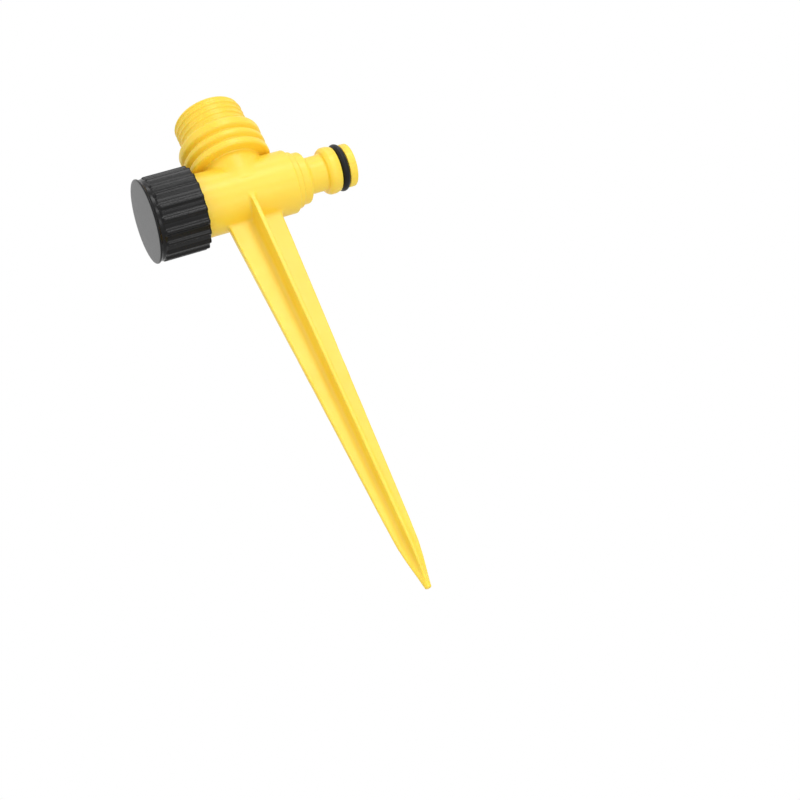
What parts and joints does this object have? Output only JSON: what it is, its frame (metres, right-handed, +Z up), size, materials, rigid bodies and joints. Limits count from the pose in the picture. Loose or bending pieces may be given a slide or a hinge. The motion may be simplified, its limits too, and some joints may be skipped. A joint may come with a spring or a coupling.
{
  "type": "sprinkler ground spike base",
  "caption": "Winged ground spike moulded in one with a water tee: threaded outlet on top for a sprinkler head, plug-in hose nipple with an O-ring, and a branch closed by a ribbed screw cap.",
  "frame": {"origin": "on the spike's axis at ground level, where the spike leaves the underside of the cross tube", "axes": "+Z up along the spike and the outlet, +X out along the hose nipple, and the screw cap faces -X"},
  "size_m": [0.0805, 0.0318, 0.1981],
  "materials": {
    "yellow_plastic": "warm yellow injection-moulded plastic, satin gloss",
    "black_plastic": "black injection-moulded plastic, satin, fine moulded grain on the flat end",
    "o_ring_rubber": "black nitrile rubber, slightly shiny",
    "gasket_rubber": "matt black rubber"
  },
  "bodies": {
    "manifold": {"ground_spike": "yellow_plastic", "cross_tube": "yellow_plastic", "outlet": "yellow_plastic", "nipple": "yellow_plastic", "inlet_o_ring": "o_ring_rubber"},
    "cap_seal": {"cap_gasket": "gasket_rubber"},
    "cap": {"end_cap": "black_plastic"}
  },
  "joints": [
    {"name": "cap_travel", "type": "slide", "parent": "manifold", "child": "cap_seal", "axis": [-1, 0, 0], "range_m": [0, 0.0092]},
    {"name": "cap_turn", "type": "hinge", "parent": "cap_seal", "child": "cap", "pos_m": [-0.0338, 0, 0.0119], "axis": [-1, 0, 0], "range_deg": [0, 1440]}
  ],
  "couplings": [
    {"joint": "cap_turn", "follows": "cap_travel", "rad_per_m": 2731.8}
  ]
}
